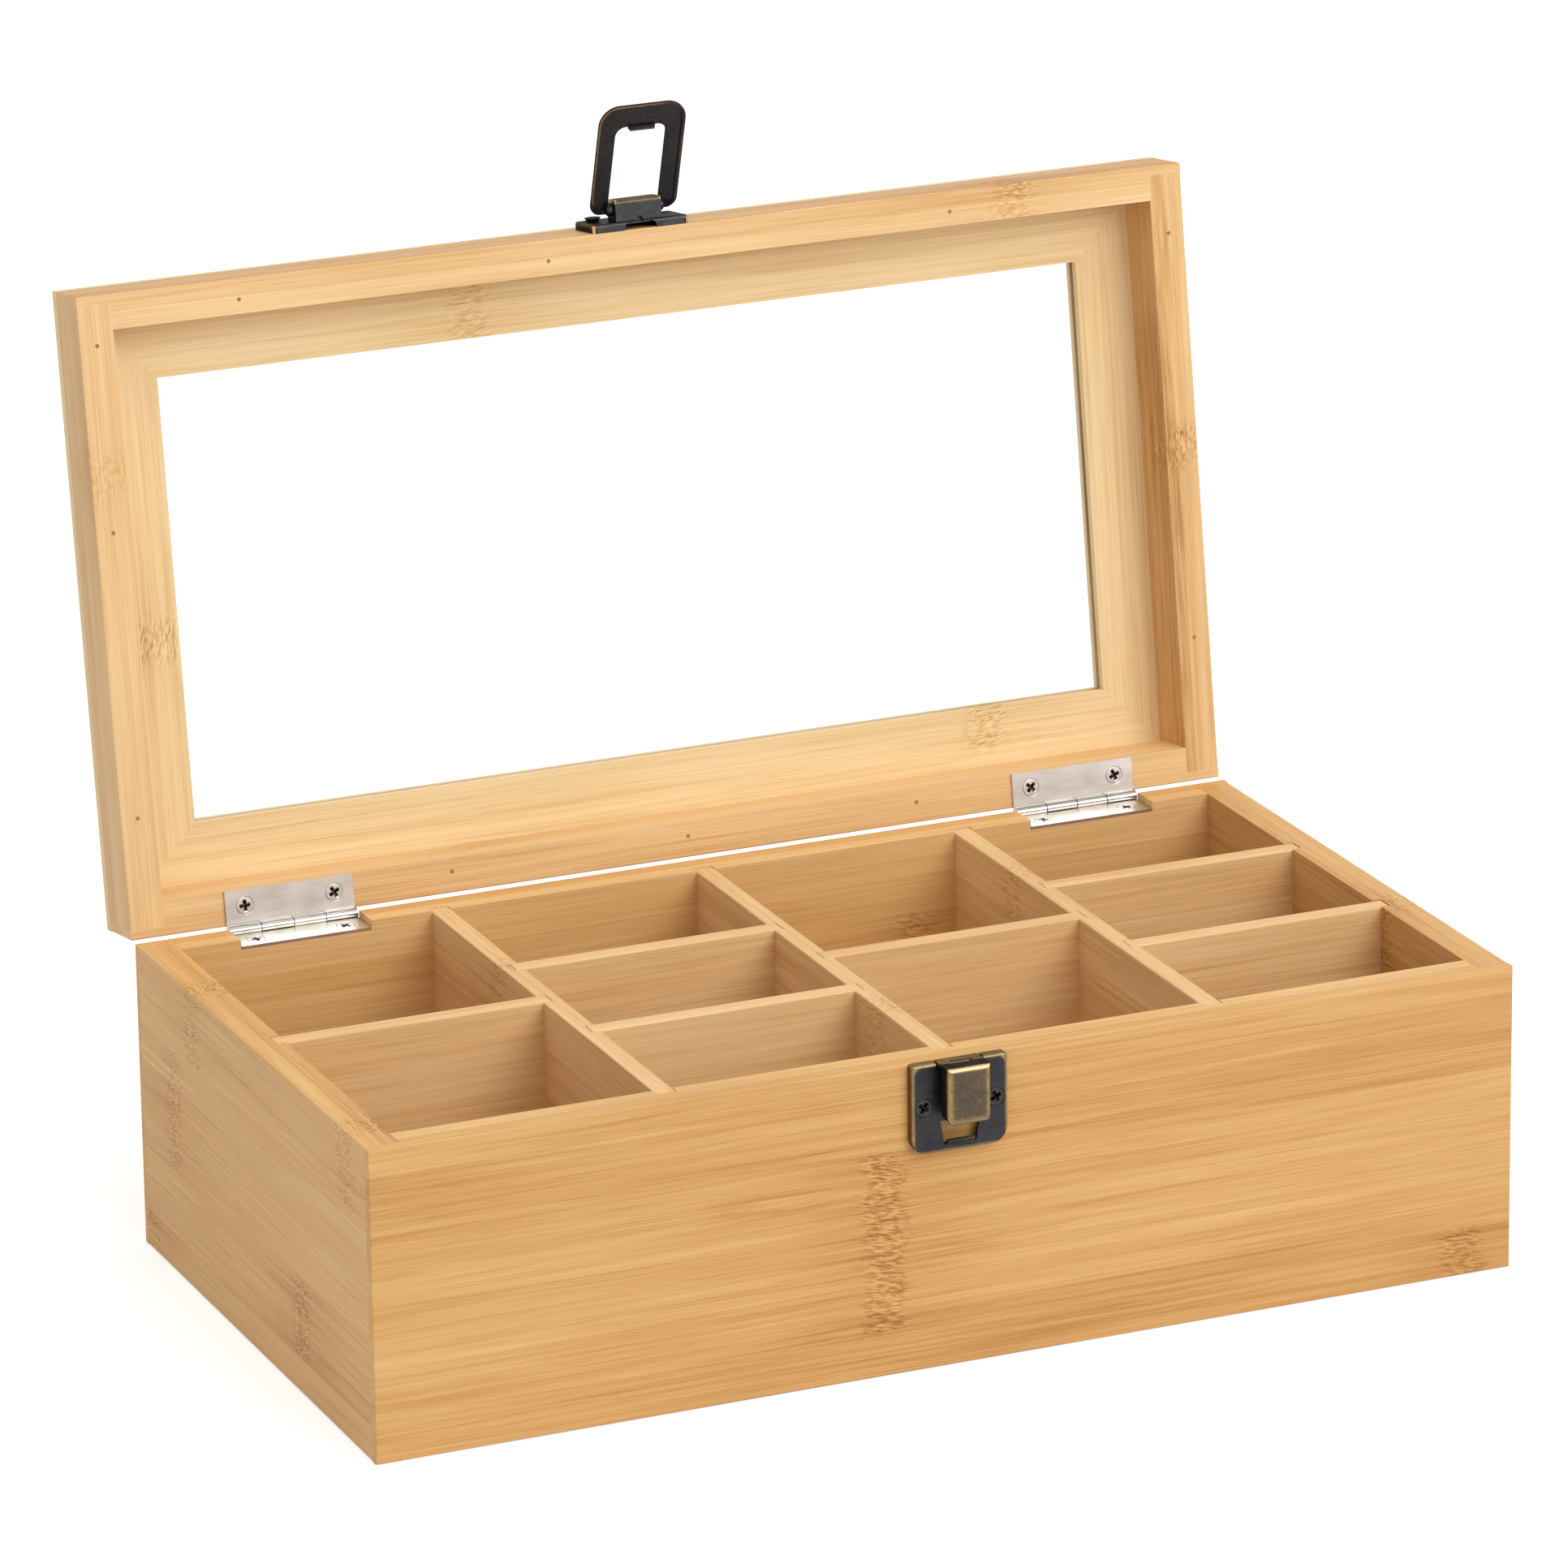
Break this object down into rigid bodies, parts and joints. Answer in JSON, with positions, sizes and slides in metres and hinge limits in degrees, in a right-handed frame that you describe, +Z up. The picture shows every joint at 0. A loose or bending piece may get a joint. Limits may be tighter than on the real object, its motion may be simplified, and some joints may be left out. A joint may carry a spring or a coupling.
{
  "type": "tea bag organizer box",
  "caption": "Low rectangular bamboo box with a grid of open compartments, and a hinged lid with a clear window that leans back on stop hinges, shut by a loop hasp over a catch.",
  "frame": {"origin": "centre of the resting face, under the middle of the base", "axes": "+X to the right along the long side, -Y out of the front where the clasp is, +Z up out of the open compartments"},
  "size_m": [0.335, 0.2422, 0.3026],
  "materials": {
    "long_boards": "laminated bamboo, clear satin lacquer",
    "side_boards": "laminated bamboo, clear satin lacquer",
    "floor": "thin bamboo panel, clear lacquer",
    "long_dividers": "bamboo strip, clear lacquer",
    "cross_dividers": "bamboo strip, clear lacquer",
    "lid_long_rails": "laminated bamboo, clear satin lacquer",
    "lid_side_rails": "laminated bamboo, clear satin lacquer",
    "frame_long": "bamboo strip, clear satin lacquer",
    "frame_short": "bamboo strip, clear satin lacquer",
    "pane": "clear glazing",
    "brads": "brown brad heads",
    "hinge_steel": "satin nickel on steel sheet",
    "hinge_screws": "nickel plated cross head screws",
    "catch_bronze": "antique bronze plating worn to brass on its edges",
    "hasp_bronze": "antique bronze plating worn to brass on its edges",
    "loop_bronze": "antique bronze plating worn to brass on its edges",
    "clasp_screws": "dark bronzed cross head screws"
  },
  "bodies": {
    "base": {"front_panel": "long_boards", "back_panel": "long_boards", "left_panel": "side_boards", "right_panel": "side_boards", "floor_panel": "floor", "divider_left": "long_dividers", "divider_middle": "long_dividers", "divider_right": "long_dividers", "cross_far_left": "cross_dividers", "cross_left_front": "cross_dividers", "cross_left_back": "cross_dividers", "cross_right": "cross_dividers", "cross_far_right_front": "cross_dividers", "cross_far_right_back": "cross_dividers", "left_hinge_base_leaf": "hinge_steel", "right_hinge_base_leaf": "hinge_steel", "left_hinge_pin": "hinge_steel", "right_hinge_pin": "hinge_steel", "hinge_base_screws": "hinge_screws", "catch_plate": "catch_bronze", "catch_screws": "clasp_screws"},
    "lid": {"lid_front_rail": "lid_long_rails", "lid_back_rail": "lid_long_rails", "lid_left_rail": "lid_side_rails", "lid_right_rail": "lid_side_rails", "lid_brads": "brads", "frame_front": "frame_long", "frame_back": "frame_long", "frame_left": "frame_short", "frame_right": "frame_short", "window_pane": "pane", "left_hinge_lid_leaf": "hinge_steel", "right_hinge_lid_leaf": "hinge_steel", "hinge_lid_screws": "hinge_screws", "hasp_plate": "hasp_bronze", "hasp_screws": "clasp_screws"},
    "hasp": {"hasp_loop": "loop_bronze"}
  },
  "joints": [
    {"name": "lid_hinge", "type": "hinge", "parent": "base", "child": "lid", "pos_m": [0, 0.0912, 0.08685], "axis": [1, 0, 0], "range_deg": [0, 98.5]},
    {"name": "hasp_pivot", "type": "hinge", "parent": "lid", "child": "hasp", "pos_m": [0, 0.1246, 0.27073], "axis": [1, 0, 0], "range_deg": [-101.5, 69.5]}
  ]
}
